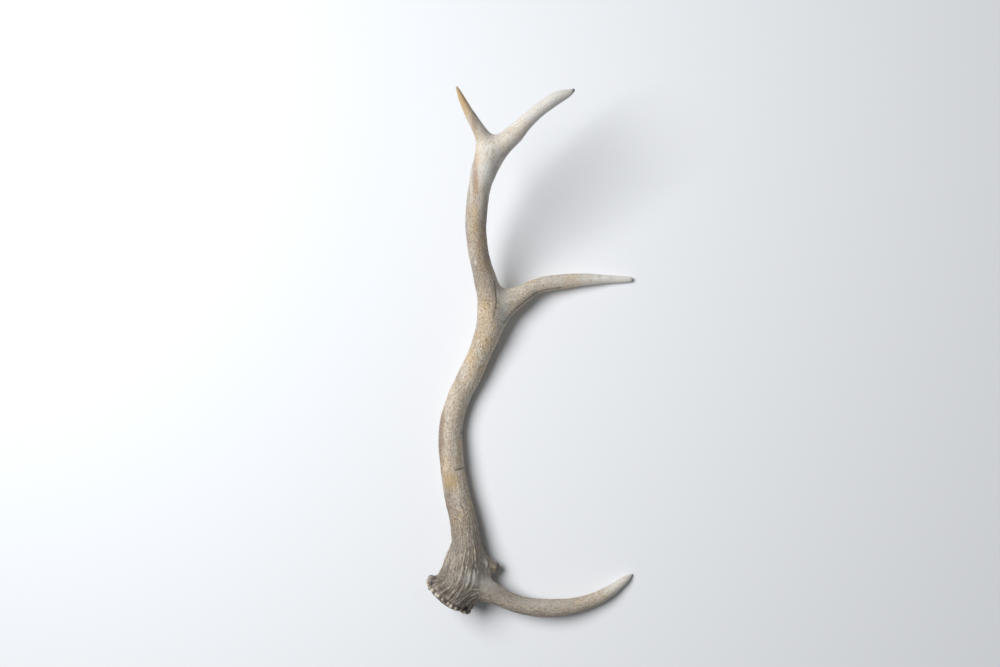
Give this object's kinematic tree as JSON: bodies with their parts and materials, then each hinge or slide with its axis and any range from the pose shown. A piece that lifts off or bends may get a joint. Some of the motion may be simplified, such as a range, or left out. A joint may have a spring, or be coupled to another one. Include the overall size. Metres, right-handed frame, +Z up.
{
  "type": "deer antler",
  "caption": "Shed deer antler with a pearled burr, a curved grooved beam, a brow tine, a middle tine and a forked top, lying on its outer side.",
  "frame": {"origin": "centre of the underside of the box that holds the antler, on the surface it lies on", "axes": "+Y along the beam from the burr to the top fork, +X towards the brow tine and the middle tine, +Z up from the surface"},
  "size_m": [0.2568, 0.6414, 0.1885],
  "materials": {
    "grooved_bone": "dry grey-brown bone with dark grooves, matt",
    "beam_bone": "dry grey-beige bone with fine dark speckle, matt",
    "pale_bone": "bleached bone, matt with a slight polish",
    "ochre_bone": "ochre stained bone with a slight polish"
  },
  "bodies": {
    "root": {"beam_lower": "grooved_bone", "beam_upper": "beam_bone", "brow_tine": "grooved_bone", "middle_tine": "pale_bone", "rear_top_tine": "ochre_bone", "front_top_tine": "pale_bone"}
  },
  "joints": []
}
